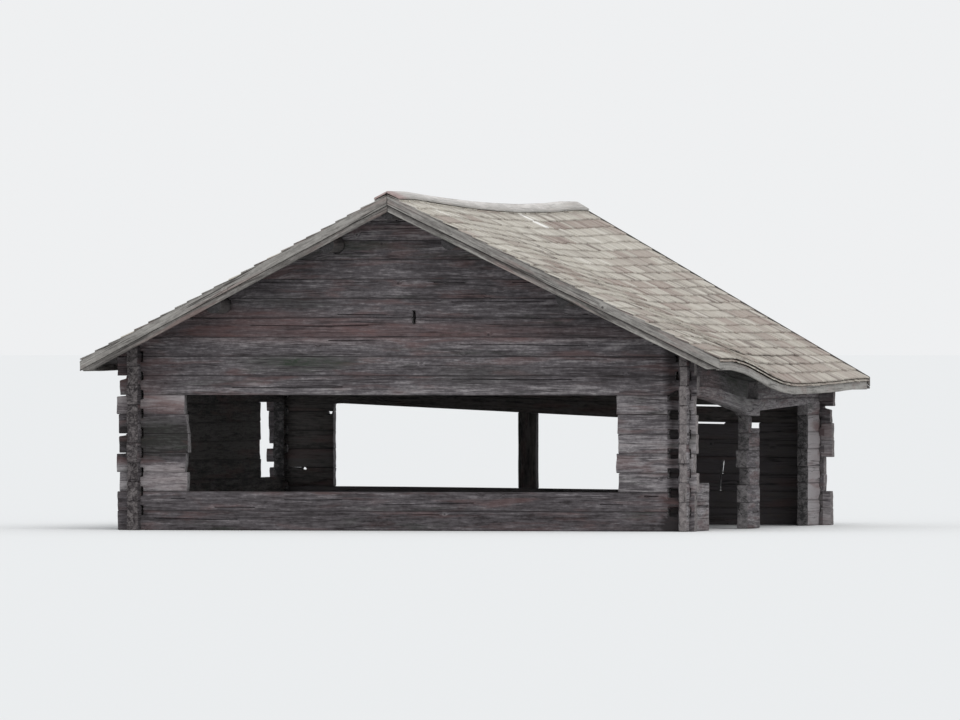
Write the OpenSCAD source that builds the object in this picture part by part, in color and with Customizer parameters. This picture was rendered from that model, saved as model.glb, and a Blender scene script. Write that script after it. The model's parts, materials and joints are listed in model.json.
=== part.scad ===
// A small boathouse of hewn logs, notched together at the corners, open in
// front, at the back and in two bays of its right side. Purlins carry a low
// gable roof of boards and wooden shingles. The back right corner has sunk,
// so that wall and the roof over it sag.
// X runs along the front, Y from front to back, Z up from the lowest logs.

/* [Walls] */
// Width of the log walls over their outer faces
wall_w = 5380; // [4600:10:6400]
// Length of the log walls over their outer faces
wall_l = 5480; // [5200:10:6400]
// Height of one log course
course = 180; // [160:5:200]
// Thickness of the hewn logs
log_t = 115; // [90:5:140]
// Length of the log ends past the corners
log_end = 115; // [60:5:150]
// How much the log ends differ in length
end_vary = 16; // [0:2:40]
// Clearance of each neck inside the corner, past the crossing log
neck_relief = 12; // [4:1:40]
// Length of the bare necks of the front wall inside its right corner
neck_bare = 95; // [20:5:120]
// Courses under the openings
sill_courses = 2; // [1:1:3]
// Courses beside the openings
opening_courses = 5; // [4:1:6]
// Courses over the openings, up to the eaves
lintel_courses = 2; // [2:1:3]
// Courses beside the back openings
rear_courses = 4; // [3:1:5]

/* [Openings] */
// Width of the front wall left of its opening
front_left_w = 590; // [400:10:900]
// Width of the front wall right of its opening
front_right_w = 700; // [400:10:900]
// Width of the back wall left of its openings
rear_left_w = 590; // [400:10:900]
// Width of the back wall right of its openings
rear_right_w = 1570; // [800:10:1700]
// Width of the post between the two back openings
post_w = 185; // [120:5:300]
// Place of the middle of that post, from the middle of the wall
post_x = -190; // [-400:10:300]
// How far the back lintel is hewn away over the left end of its openings
head_left = 80; // [0:5:100]
// How far it is hewn away over their right end
head_right = 12; // [0:2:60]
// Width of the slot in the left wall
slot_w = 870; // [500:10:1200]
// Length of the short log ends behind that slot
rear_stub = 185; // [150:5:230]
// Length of the short log ends at the front right corner
front_stub = 270; // [220:10:400]
// Length of the two lowest logs at the front right corner
front_stub_long = 800; // [500:10:1200]
// Distance from the front to the pier between the right bays
pier_start = 2380; // [2100:10:2500]
// Length of that pier
pier_l = 480; // [400:10:700]
// Length of the pier at the back right corner
rear_pier = 610; // [450:10:750]
// How far the lintel is hewn away over the back one of the right bays
bay_arch = 100; // [0:5:120]
// How much the sawn ends of the logs beside the openings differ
cut_vary = 12; // [0:1:20]
// How much the logs of the pier between the right bays differ at its front
pier_vary = 70; // [0:5:90]
// Height of the air slit in the front gable
slit_h = 145; // [80:5:200]
// Width of the air slit
slit_w = 42; // [20:2:60]
// Place of the middle of the air slit, from the middle of the wall
slit_x = 56; // [-200:1:200]
// Height of the foot of the air slit
slit_z = 1915; // [1850:5:2000]

/* [Decay] */
// How far the back right corner has sunk
settle = 170; // [0:10:190]
// Share of the right wall over which it sinks to that depth
settle_run = 0.5; // [0.4:0.05:1]
// Length broken out of the second lintel log over the middle pier
lintel_gap = 400; // [200:10:600]
// Length of the notch broken out of the top of the middle pier
pier_chip = 330; // [150:10:380]
// Height of that notch
pier_chip_h = 100; // [30:5:120]
// Height of the open joints over and under the lowest back lintel log
chink = 32; // [10:2:50]
// Length of those joints from the back right opening to the right
chink_l = 630; // [200:10:700]
// Place of the middle of a hole under the back lintel
hole_x = 2050; // [1950:10:2200]
// Width of that hole
hole_w = 150; // [50:10:200]
// Height of that hole
hole_h = 80; // [30:5:120]
// Place of the crack in the back right pier
crack_x = 1700; // [1500:10:1900]
// Width of the crack
crack_w = 16; // [6:1:30]
// Height of the crack
crack_h = 270; // [150:10:320]
// How far the crack leans to the right
crack_lean = 35; // [0:5:80]
// Size of the two small gaps in the back left pier
pinhole = 24; // [10:1:30]
// Height worn off the tops of the worst log ends
end_wear = 58; // [10:2:70]
// Length of the log ends that have broken short
short_end = 45; // [30:5:80]

/* [Roof] */
// Height of the ridge at the front
ridge_h = 3160; // [2900:10:3400]
// Place of the ridge at the front, from the middle
ridge_front = -110; // [-200:10:200]
// Place of the ridge at the back, from the middle
ridge_rear = 180; // [-200:10:200]
// How much lower the ridge ends at the back
ridge_drop = 65; // [0:5:100]
// Sag of the ridge between its ends
ridge_sag = 55; // [0:1:80]
// Reach of the eaves past the side walls
eave_over = 375; // [250:5:450]
// Reach of the roof past the gable walls
gable_over = 370; // [250:5:450]
// Droop of the right eave between its ends
eave_droop = 50; // [0:5:70]
// Upright thickness of the roof boards
board_t = 28; // [18:1:35]
// Upright thickness of the shingle layer
shingle_t = 60; // [30:1:70]
// Height of one shingle step
shingle_step = 15; // [8:1:20]
// Bare length of each shingle course, along the slope
exposure = 151; // [120:1:200]
// Diameter of the purlins
purlin_d = 150; // [120:5:190]
// Distance from the ridge to the upper purlins
upper_purlin_at = 620; // [500:10:800]
// Distance from the ridge to the lower purlins
lower_purlin_at = 1710; // [1500:10:1900]
// Width of the ridge boards along the slope
ridge_board_w = 140; // [100:5:200]
// Thickness of the ridge boards
ridge_board_t = 22; // [15:1:30]
// Upright width of the barge boards
barge_w = 176; // [140:2:220]
// Thickness of the barge boards
barge_t = 25; // [18:1:35]
// Height of the barge boards at their feet, which are cut level
barge_foot = 115; // [60:5:130]
// Height of the eave boards
eave_board_h = 75; // [60:5:120]
// Thickness of the eave boards
eave_board_t = 22; // [15:1:30]
// Reach of the shingles past the roof boards
shingle_lip = 45; // [35:1:60]

/* [Hidden] */

LEFT = -1;
RIGHT = 1;
// Clearance between pieces that seat on each other
fit = 0.4;
// Faces round a purlin
purlin_sides = 16;
// Steps of the curves along the walls and the roof
steps = 10;
// Straight length of wall past each neck
past_neck = 35;
// How far a cut reaches past what it cuts
past_cut = 1;
// Angles of the waves that set how the log ends differ from course to course
start_turn = 20;
end_turn = 200;
next_turn = 137;
// Places along the back wall, and courses, of the small gaps in its left pier
pinholes = [[-2410, 3], [-2124, 6]];
// Courses of the front wall whose left ends have worn, and their share of the wear
front_worn = [[3, 0.2], [4, 0.5], [6, 0.3], [7, 1]];
// Share of the wear on the right end of the lowest back lintel log
rear_worn = 0.85;
// Share of a log end that the wear leaves whole, next to the corner
whole_end = 0.3;
// Courses of the back wall whose right ends are short, over the lowest beside the openings
rear_short = [0, 1];

wall_x = wall_w / 2;
wall_y = wall_l / 2;
// Length of wall that stays level at each corner, so that the notches fit
corner = log_t + max(neck_relief, neck_bare) + past_neck;
// First courses over the openings and the back openings, and the first that
// the roof cuts
lintel_from = sill_courses + opening_courses;
rear_from = sill_courses + rear_courses;
gable_from = lintel_from + lintel_courses;
// Top of the side walls in courses; their logs lie half a course higher
plate_top = gable_from + 0.5;
eave_x = wall_x + eave_over;
deck_x = eave_x - shingle_lip;
roof_y = wall_y + gable_over;
purlin_r = purlin_d / 2;
// Width of the mouth of a purlin's seat
seat_w = 0.7 * purlin_d;
// Places along the walls where the sides of the openings stand
rear_left_edge = rear_left_w - wall_x;
rear_right_edge = wall_x - rear_right_w;
pier_front = pier_start - wall_y;
pier_back = pier_front + pier_l;
rear_pier_front = wall_y - rear_pier;
apex_z = ridge_h - ridge_board_t - shingle_t - board_t - fit;

LOG = "#62564f";
LOG_LIGHT = "#7c726a";
ROOF = "#a29d8e";
BOARD = "#8b857a";
BLEACHED = "#dcd7cd";
INSIDE = "#5a5049";

function clamp01(t) = max(0, min(1, t));
function ease(t) = let (u = clamp01(t)) u * u * (3 - 2 * u);
function backwards(list) = [for (i = [len(list) - 1:-1:0]) list[i]];

// Share of the way from the front wall to the back wall, and from left to right
function along(y) = clamp01((y + wall_y - corner) / (wall_l - 2 * corner));
function across(x) = clamp01((x + wall_x - corner) / (wall_w - 2 * corner));

// How far the walls have sunk at a place in the plan
function sunk(x, y) = settle * ease(across(x)) * ease(along(y) / settle_run);
// Height of the joint over n courses; those up to the eaves share the sinking
function level(n, drop) = n * course - drop * clamp01(n / plate_top);

// Places along a wall where its curves bend
function bends(half) = [
    for (i = [0:steps]) corner - half + i * 2 * (half - corner) / steps];
function between(a, b, list) = [a, for (s = list) if (s > a + 1 && s < b - 1) s, b];

// Sinking at the bends of the two walls that have sunk, straight between them
REAR_SINKING = [for (s = bends(wall_x)) [s, sunk(s, wall_y)]];
RIGHT_SINKING = [for (s = bends(wall_y)) [s, sunk(wall_x, s)]];

// Each wall: its half length, the curve of its courses, its bends, the reach
// of its necks at its start and its end, its worn log ends as side, course and
// share of the wear, and its courses whose far ends are short
neck = log_t + neck_relief;
FRONT = [wall_x, function(s) 0, [], neck, log_t + neck_bare,
    [for (w = front_worn) [LEFT, w[0], w[1]]], []];
REAR = [wall_x, function(s) lookup(s, REAR_SINKING), bends(wall_x), neck, neck,
    [[RIGHT, rear_from, rear_worn]], [for (n = rear_short) sill_courses + n]];
LEFT_SIDE = [wall_y, function(s) 0, [], neck, neck, [], []];
RIGHT_SIDE = [wall_y, function(s) lookup(s, RIGHT_SINKING), bends(wall_y), neck, neck,
    [], [lintel_from - 1]];

// Length of a log end past its corner, and unevenness of a sawn end
function tip(n, turn) = log_end + end_vary * sin(turn + n * next_turn);
function start_of(wall, n) = -wall[0] - tip(n, start_turn);
function is_short(wall, n) = len([for (k = wall[6]) if (k == n) k]) > 0;
function end_of(wall, n) = wall[0] + (is_short(wall, n) ? short_end : tip(n, end_turn));
function uneven(n, most) = most * sin(end_turn + n * next_turn);

// Strip between two courses, from a to b along a wall
module strip(wall, a, b, low, high, low_fit = fit / 2, high_fit = fit / 2) {
    spots = between(a, b, wall[2]);
    polygon(concat(
        [for (s = spots) [s, level(low, wall[1](s)) + low_fit]],
        [for (s = backwards(spots)) [s, level(high, wall[1](s)) - high_fit]]));
}

// What has worn off the top of a log end, deepest at its tip
module worn_top(wall, side, n, share) {
    top = level(n + 1, wall[1](side * wall[0]));
    from = wall[0] + whole_end * log_end;
    reach = wall[0] + log_end + end_vary + past_cut;
    depth = share * end_wear;
    polygon([for (p = [[from, -depth / 2], [reach, -depth], [reach, past_cut], [from, past_cut]])
        [side * p[0], top + p[1]]]);
}

// One log: full height along the wall, a neck where it crosses each corner.
// The neck of every log is half a course high, so that crossing logs lock.
module log(wall, a, b, low, high, neck_low, neck_high) {
    half = wall[0];
    difference() {
        strip(wall, a, b, low, high, low == 0 ? 0 : fit / 2);
        for (cut = [[-half - fit, wall[3]], [half - wall[4], wall[4]]]) {
            drop = wall[1](cut[0]);
            z_low = level(neck_low, drop) + fit / 2;
            z_high = level(neck_high, drop) - fit / 2;
            if (neck_low > low)
                translate([cut[0], z_low - course]) square([cut[1] + fit, course]);
            if (neck_high < high)
                translate([cut[0], z_high]) square([cut[1] + fit, course]);
        }
        for (w = wall[5])
            if (w[1] == low) worn_top(wall, w[0], w[1], w[2]);
    }
}

// Log n of a gable wall, and log n of a side wall, half a course higher
module gable_wall_log(wall, n, a, b)
    log(wall, a, b, n, n + 1,
        n == 0 ? 0 : n + 0.25, n >= gable_from ? n + 1 : n + 0.75);

module side_wall_log(wall, n, a, b)
    log(wall, a, b, n == 0 ? 0 : n + 0.5, n + 1.5, n + 0.75, n + 1.25);

// Carry the drawing of a wall's logs to their place and give them thickness
module on_front() translate([0, log_t - wall_y, 0])
    rotate([90, 0, 0]) linear_extrude(log_t) children();
module on_rear() translate([0, wall_y, 0])
    rotate([90, 0, 0]) linear_extrude(log_t) children();
module on_left() translate([-wall_x, 0, 0])
    rotate([90, 0, 90]) linear_extrude(log_t) children();
module on_right() translate([wall_x - log_t, 0, 0])
    rotate([90, 0, 90]) linear_extrude(log_t) children();

// Roof surface: straight from the ridge over the wall's top to the eave
function ridge_x(y) = ridge_front + (ridge_rear - ridge_front) * along(y);
function ridge_z(y) = let (v = along(y))
    apex_z - ridge_drop * ease(v) - ridge_sag * 4 * v * (1 - v);
function plate_z(side, y) = level(plate_top, sunk(side * wall_x, y));
function pitch(side, y) =
    (ridge_z(y) - plate_z(side, y)) / (wall_x - side * ridge_x(y));
function droop(side, y) = let (v = along(y))
    side == RIGHT ? eave_droop * 4 * v * (1 - v) : 0;
// Underside of the roof boards
function under(side, x, y) = let (out = side * x - wall_x)
    plate_z(side, y) - pitch(side, y) * out - droop(side, y) * max(0, out) / eave_over;
// Top of the shingles
function over(side, x, y) = under(side, x, y) + board_t + fit + shingle_t;

// Shingle courses from the ridge to the wall, and from there to the eave
wall_courses = round(norm([wall_x, ridge_h - plate_top * course]) / exposure);
eave_courses = max(1, round(eave_over / cos(atan(pitch(LEFT, -wall_y))) / exposure));
courses = wall_courses + eave_courses;

// Place of the lower edge of shingle course i; one falls on the wall's face
function butt(side, i, y) =
    let (top = ridge_x(y) + side * fit / 2)
    i <= wall_courses
        ? top + (side * wall_x - top) * i / wall_courses
        : side * (wall_x + eave_over * (i - wall_courses) / eave_courses);

// Lines along the roof that its layers share, from the ridge outwards
function lines(side, y, last) =
    concat([for (i = [0:courses - 1]) butt(side, i, y)], [side * last]);

// Places along the roof where its sections stand
function sections(reach) = concat([-reach], bends(wall_y), [reach]);

// Solid through a row of equal sections, closed at each end by the faces in cap.
// Its quads are split alike on both sides of a joint, so that twisted layers
// lie on each other. Sections of the left side run the other way round.
module loft(rows, cap, side = RIGHT) {
    n = len(rows[0]);
    m = len(rows);
    points = [for (row = rows) each row];
    skin = [for (r = [0:m - 2], i = [0:n - 1])
        let (j = (i + 1) % n, a = r * n + i, b = r * n + j, c = b + n, d = a + n)
        each abs(points[a][0]) < abs(points[b][0])
            ? [[a, b, c], [a, c, d]] : [[a, b, d], [b, c, d]]];
    faces = concat(
        [for (f = cap) backwards(f)], skin, [for (f = cap) [for (i = f) (m - 1) * n + i]]);
    polyhedron(points, side == RIGHT ? faces : [for (f = faces) backwards(f)]);
}

module roof_layer(side, reach, section, cap)
    loft([for (y = sections(reach)) [for (p = section(side, y)) [p[0], y, p[1]]]], cap, side);

// Shape of the wall under the roof at a gable, with seats for the purlins
module under_roof(y) {
    difference() {
        polygon([
            [-eave_x, 0],
            [eave_x, 0],
            [eave_x, under(RIGHT, eave_x, y) - fit / 2],
            [ridge_x(y), ridge_z(y) - fit / 2],
            [-eave_x, under(LEFT, -eave_x, y) - fit / 2]]);
        for (side = [LEFT, RIGHT], at = [0, upper_purlin_at, lower_purlin_at]) {
            c = purlin_centre(side, at, y);
            translate([c[0], c[1]]) {
                circle(r = purlin_r + fit, $fn = 64);
                rotate(-side * atan(pitch(side, y)))
                    translate([-seat_w / 2, 0]) square([seat_w, purlin_d]);
            }
        }
    }
}

// Middle of a purlin that touches the boards at a distance from the ridge
function purlin_centre(side, at, y) =
    let (a = atan(pitch(side, y)), x = ridge_x(y) + side * at)
    at == 0
        ? [x, ridge_z(y) - (purlin_r + fit) / cos(atan(steepest(y)))]
        : [x - side * (purlin_r + fit) * sin(a), under(side, x, y) - (purlin_r + fit) * cos(a)];
function steepest(y) = max(pitch(LEFT, y), pitch(RIGHT, y));

module purlin(side, at) {
    reach = roof_y - fit;
    loft([for (y = sections(reach))
        let (c = purlin_centre(side, at, y), turn = 90 - side * atan(pitch(side, y)))
        [for (i = [0:purlin_sides - 1])
            let (t = turn + i * 360 / purlin_sides)
            [c[0] + purlin_r * cos(t), y, c[1] + purlin_r * sin(t)]]],
        [[for (i = [0:purlin_sides - 1]) i]]);
}

// Front wall
module front_sill_logs() color(LOG)
    on_front() for (n = [0:sill_courses - 1])
        gable_wall_log(FRONT, n, start_of(FRONT, n), end_of(FRONT, n));

module front_left_pier() color(LOG)
    on_front() for (n = [sill_courses:lintel_from - 1])
        gable_wall_log(FRONT, n, start_of(FRONT, n),
            front_left_w - wall_x + uneven(n, cut_vary));

module front_right_pier() color(LOG)
    on_front() for (n = [sill_courses:lintel_from - 1])
        gable_wall_log(FRONT, n, wall_x - front_right_w + uneven(n, cut_vary),
            end_of(FRONT, n));

module front_lintel_logs() color(LOG_LIGHT)
    on_front() for (n = [lintel_from:gable_from - 1])
        gable_wall_log(FRONT, n, start_of(FRONT, n), end_of(FRONT, n));

// Number of courses up to the ridge of a gable
function gable_last(y) = ceil(ridge_z(y) / course) - 1;

module front_gable_logs() color(LOG)
    on_front() for (n = [gable_from:gable_last(-wall_y)])
        intersection() {
            difference() {
                gable_wall_log(FRONT, n, start_of(FRONT, n), end_of(FRONT, n));
                translate([slit_x - slit_w / 2, slit_z]) square([slit_w, slit_h]);
            }
            under_roof(-wall_y);
        }

// Back wall
module rear_sill_logs() color(LOG)
    on_rear() for (n = [0:sill_courses - 1])
        gable_wall_log(REAR, n, start_of(REAR, n), end_of(REAR, n));

// Straight underside of the back lintel over its openings, as hewn
function rear_head(x) =
    let (z_left = level(rear_from, sunk(rear_left_edge, wall_y)) + head_left,
        z_right = level(rear_from, sunk(rear_right_edge, wall_y)) + head_right)
    z_left + (z_right - z_left) * (x - rear_left_edge) / (rear_right_edge - rear_left_edge);
module under_head(a, b, gap)
    polygon([[a, 0], [b, 0], [b, rear_head(b) - gap], [a, rear_head(a) - gap]]);

// Open joint under level n of the back wall, from a to b
module open_joint(n, a, b, h)
    strip(REAR, a, b, n - h / course, n + past_cut / course, 0, 0);

module rear_left_pier() color(LOG)
    on_rear() difference() {
        for (n = [sill_courses:rear_from - 1])
            gable_wall_log(REAR, n, start_of(REAR, n), rear_left_edge);
        for (gap = pinholes)
            open_joint(gap[1], gap[0] - pinhole / 2, gap[0] + pinhole / 2, pinhole);
    }

module rear_right_pier() color(LOG)
    on_rear() difference() {
        for (n = [sill_courses:rear_from - 1])
            gable_wall_log(REAR, n, rear_right_edge, end_of(REAR, n));
        open_joint(rear_from, rear_right_edge - past_cut, rear_right_edge + chink_l, chink);
        open_joint(rear_from, hole_x - hole_w / 2, hole_x + hole_w / 2, hole_h);
        translate([crack_x, level(sill_courses, 0)])
            polygon([[0, -course], [crack_w, -course], [crack_w, 0],
                [crack_w + crack_lean, crack_h], [crack_lean, crack_h], [0, 0]]);
    }

module rear_middle_post() color(LOG)
    on_rear() intersection() {
        strip(REAR, post_x - post_w / 2, post_x + post_w / 2, sill_courses, lintel_from);
        under_head(post_x - post_w, post_x + post_w, fit);
    }

module rear_lintel_logs() color(LOG)
    on_rear() difference() {
        for (n = [rear_from:gable_from - 1])
            gable_wall_log(REAR, n, start_of(REAR, n), end_of(REAR, n));
        under_head(rear_left_edge, rear_right_edge, 0);
        open_joint(rear_from + 1, rear_right_edge, rear_right_edge + chink_l, chink);
    }

module rear_gable_logs() color(LOG)
    on_rear() for (n = [gable_from:gable_last(wall_y)])
        intersection() {
            gable_wall_log(REAR, n, start_of(REAR, n), end_of(REAR, n));
            under_roof(wall_y);
        }

// Left wall
module left_sill_logs() color(LOG)
    on_left() for (n = [0:sill_courses - 1])
        side_wall_log(LEFT_SIDE, n, start_of(LEFT_SIDE, n), end_of(LEFT_SIDE, n));

module left_wall_logs() color(LOG)
    on_left() for (n = [sill_courses:lintel_from - 2])
        side_wall_log(LEFT_SIDE, n, start_of(LEFT_SIDE, n),
            wall_y - rear_stub - slot_w + uneven(n, cut_vary));

module left_rear_stubs() color(LOG_LIGHT)
    on_left() for (n = [sill_courses:lintel_from - 2])
        side_wall_log(LEFT_SIDE, n, wall_y - rear_stub + uneven(n, cut_vary),
            end_of(LEFT_SIDE, n));

module left_top_logs() color(LOG)
    on_left() for (n = [lintel_from - 1:gable_from - 1])
        side_wall_log(LEFT_SIDE, n, start_of(LEFT_SIDE, n), end_of(LEFT_SIDE, n));

// Right wall
module right_front_stubs() color(LOG_LIGHT)
    on_right() for (n = [0:lintel_from - 2])
        side_wall_log(RIGHT_SIDE, n, start_of(RIGHT_SIDE, n),
            (n < sill_courses ? front_stub_long : front_stub) - wall_y + uneven(n, cut_vary));

module right_middle_pier() color(LOG)
    on_right() difference() {
        for (n = [0:lintel_from - 2])
            side_wall_log(RIGHT_SIDE, n, pier_front + uneven(n, pier_vary), pier_back);
        translate([pier_back - pier_chip, level(lintel_from - 0.5, settle) - pier_chip_h])
            square([pier_chip + past_cut, course]);
    }

module right_rear_pier() color(LOG)
    on_right() for (n = [0:lintel_from - 2])
        side_wall_log(RIGHT_SIDE, n, rear_pier_front + uneven(n, cut_vary),
            end_of(RIGHT_SIDE, n));

module right_lintel_logs() color(LOG_LIGHT)
    on_right() difference() {
        for (n = [lintel_from - 1:gable_from - 2])
            side_wall_log(RIGHT_SIDE, n, start_of(RIGHT_SIDE, n), end_of(RIGHT_SIDE, n));
        // piece broken out of the log over the lowest one
        strip(RIGHT_SIDE, pier_front, pier_front + lintel_gap,
            lintel_from + 0.5, lintel_from + 1.5, fit / 2, -past_cut);
        // underside hewn to a low arch over the back bay
        translate([0, level(lintel_from - 0.5, settle)])
            polygon([[pier_back, -course], [rear_pier_front - cut_vary, -course],
                [rear_pier_front - cut_vary, bay_arch], [pier_back, bay_arch / 2]]);
    }

module right_plate_log() color(LOG)
    on_right() side_wall_log(RIGHT_SIDE, gable_from - 1,
        start_of(RIGHT_SIDE, gable_from - 1), end_of(RIGHT_SIDE, gable_from - 1));

// Roof
module ridge_purlin() color(INSIDE) purlin(LEFT, 0);
module upper_purlin_left() color(INSIDE) purlin(LEFT, upper_purlin_at);
module upper_purlin_right() color(INSIDE) purlin(RIGHT, upper_purlin_at);
module lower_purlin_left() color(INSIDE) purlin(LEFT, lower_purlin_at);
module lower_purlin_right() color(INSIDE) purlin(RIGHT, lower_purlin_at);

// Points of a layer's underside from the ridge outwards, and back along its top
board_section = function(side, y)
    let (xs = lines(side, y, deck_x))
    concat([for (x = xs) [x, under(side, x, y)]],
        [for (x = backwards(xs)) [x, under(side, x, y) + board_t]]);

board_cap = [for (i = [0:courses - 1])
    each [[i, i + 1, 2 * courses - i], [i, 2 * courses - i, 2 * courses + 1 - i]]];

// Lower edge of shingle course i, and the course under it at the foot of the step
function high(side, i, y) = let (x = butt(side, i, y)) [x, over(side, x, y)];
function low(side, i, y) = let (a = atan(pitch(side, y)))
    high(side, i, y) - shingle_step * [side * (i == 0 ? 0 : sin(a)), cos(a)];

shingle_section = function(side, y)
    concat([for (x = lines(side, y, eave_x)) [x, under(side, x, y) + board_t + fit]],
        [for (i = [courses:-1:1]) each [low(side, i, y), high(side, i, y)]],
        [low(side, 0, y)]);
shingle_cap = [for (i = [1:courses])
    let (foot = courses + 1 + 2 * (courses - i), last = foot + 2)
    each [[i - 1, i, last], [i, foot, last], [foot, foot + 1, last]]];

quad_cap = [[0, 1, 2, 3]];

ridge_board_section = function(side, y)
    let (top = ridge_x(y) + side * fit / 2,
        low = top + side * ridge_board_w * cos(atan(pitch(side, y))))
    [for (p = [[top, fit], [low, fit], [low, ridge_board_t], [top, ridge_board_t]])
        [p[0], over(side, p[0], y) + p[1]]];

eave_board_section = function(side, y)
    let (inner = side * (deck_x + fit), outer = side * (deck_x + fit + eave_board_t),
        z_inner = under(side, inner, y) + board_t, z_outer = under(side, outer, y) + board_t)
    [[inner, z_outer - eave_board_h], [outer, z_outer - eave_board_h],
        [outer, z_outer], [inner, z_inner]];

module roof_boards_left() color(INSIDE)
    roof_layer(LEFT, roof_y - fit, board_section, board_cap);
module roof_boards_right() color(INSIDE)
    roof_layer(RIGHT, roof_y - fit, board_section, board_cap);
module shingles_left() color(ROOF)
    roof_layer(LEFT, roof_y - fit, shingle_section, shingle_cap);
module shingles_right() color(ROOF)
    roof_layer(RIGHT, roof_y - fit, shingle_section, shingle_cap);
module ridge_board_left() color(BLEACHED)
    roof_layer(LEFT, roof_y + barge_t, ridge_board_section, quad_cap);
module ridge_board_right() color(BLEACHED)
    roof_layer(RIGHT, roof_y + barge_t, ridge_board_section, quad_cap);
module eave_board_left() color(BOARD)
    roof_layer(LEFT, roof_y - fit, eave_board_section, quad_cap);
module eave_board_right() color(BOARD)
    roof_layer(RIGHT, roof_y - fit, eave_board_section, quad_cap);

// Barge board against the end of the roof, from the ridge to the eave
module barge(side, y) {
    top = ridge_x(y) + side * fit / 2;
    foot_z = over(side, side * eave_x, y) - barge_foot;
    foot_l = (barge_w - barge_foot) / pitch(side, y);
    rotate([90, 0, 0]) linear_extrude(barge_t)
        polygon([
            [top, over(side, top, y) - barge_w],
            [side * (eave_x - foot_l), foot_z],
            [side * eave_x, foot_z],
            [side * eave_x, over(side, side * eave_x, y)],
            [top, over(side, top, y)]]);
}

module front_barge_left() color(BOARD) translate([0, -roof_y, 0]) barge(LEFT, -wall_y);
module front_barge_right() color(BOARD) translate([0, -roof_y, 0]) barge(RIGHT, -wall_y);
module rear_barge_left() color(BOARD)
    translate([0, roof_y + barge_t, 0]) barge(LEFT, wall_y);
module rear_barge_right() color(BOARD)
    translate([0, roof_y + barge_t, 0]) barge(RIGHT, wall_y);

front_sill_logs();
front_left_pier();
front_right_pier();
front_lintel_logs();
front_gable_logs();
rear_sill_logs();
rear_left_pier();
rear_right_pier();
rear_middle_post();
rear_lintel_logs();
rear_gable_logs();
left_sill_logs();
left_wall_logs();
left_rear_stubs();
left_top_logs();
right_front_stubs();
right_middle_pier();
right_rear_pier();
right_lintel_logs();
right_plate_log();
ridge_purlin();
upper_purlin_left();
upper_purlin_right();
lower_purlin_left();
lower_purlin_right();
roof_boards_left();
roof_boards_right();
shingles_left();
shingles_right();
ridge_board_left();
ridge_board_right();
front_barge_left();
front_barge_right();
rear_barge_left();
rear_barge_right();
eave_board_left();
eave_board_right();
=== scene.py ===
"""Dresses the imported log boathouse: weathered logs, boards, shingles, soft light and a camera."""

import json
import math
import random

import bpy
import numpy as np
from bpy.props import FloatProperty, FloatVectorProperty, IntProperty, PointerProperty
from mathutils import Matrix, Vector
from mathutils.bvhtree import BVHTree


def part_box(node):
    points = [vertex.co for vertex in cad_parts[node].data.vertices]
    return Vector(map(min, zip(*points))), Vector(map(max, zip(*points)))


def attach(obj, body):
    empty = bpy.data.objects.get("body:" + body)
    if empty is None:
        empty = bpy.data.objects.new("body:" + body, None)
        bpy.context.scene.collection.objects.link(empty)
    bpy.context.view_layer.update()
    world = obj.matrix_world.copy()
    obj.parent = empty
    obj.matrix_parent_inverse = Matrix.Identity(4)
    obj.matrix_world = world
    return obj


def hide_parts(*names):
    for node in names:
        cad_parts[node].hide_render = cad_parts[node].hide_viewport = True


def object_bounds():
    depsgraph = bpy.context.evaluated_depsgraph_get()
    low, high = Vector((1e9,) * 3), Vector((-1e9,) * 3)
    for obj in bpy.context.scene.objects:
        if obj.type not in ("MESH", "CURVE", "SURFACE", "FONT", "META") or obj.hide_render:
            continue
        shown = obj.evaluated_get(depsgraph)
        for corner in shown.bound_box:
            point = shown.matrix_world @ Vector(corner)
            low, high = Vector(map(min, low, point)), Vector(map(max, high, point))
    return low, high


bl_info = {
    "name": "Log Boathouse",
    "version": (1, 0, 0),
    "blender": (4, 5, 0),
    "location": "View3D > Sidebar > Boathouse",
    "description": "Weathered logs, roof boards and shingles for a small log boathouse",
    "category": "Object",
}

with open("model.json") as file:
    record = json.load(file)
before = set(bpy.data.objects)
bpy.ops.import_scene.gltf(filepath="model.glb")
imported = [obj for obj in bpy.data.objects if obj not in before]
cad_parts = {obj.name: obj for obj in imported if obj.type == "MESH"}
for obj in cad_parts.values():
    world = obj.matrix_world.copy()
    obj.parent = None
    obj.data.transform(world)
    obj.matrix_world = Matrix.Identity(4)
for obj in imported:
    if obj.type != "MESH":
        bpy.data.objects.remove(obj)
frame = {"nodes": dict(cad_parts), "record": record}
CAD_LOW, CAD_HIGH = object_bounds()

X, Y, Z = 0, 1, 2
LEFT, RIGHT = -1, 1
SIDE_NAMES = {LEFT: "left", RIGHT: "right"}

# Height of one log course
COURSE = 0.18
# Outer faces of the side walls and of the gable walls, from the middle
WALL_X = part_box("right_plate_log")[1].x
WALL_Y = -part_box("front_sill_logs")[0].y

# The record's material slot of each node
SLOTS = {part["node"]: part["material_slot"] for part in frame["record"]["subparts"]}
# Each wall: the axis that its logs run along, and its outward direction
WALLS = {
    "front": (X, Vector((0, -1, 0))), "rear": (X, Vector((0, 1, 0))),
    "left": (Y, Vector((-1, 0, 0))), "right": (Y, Vector((1, 0, 0))),
}

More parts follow.
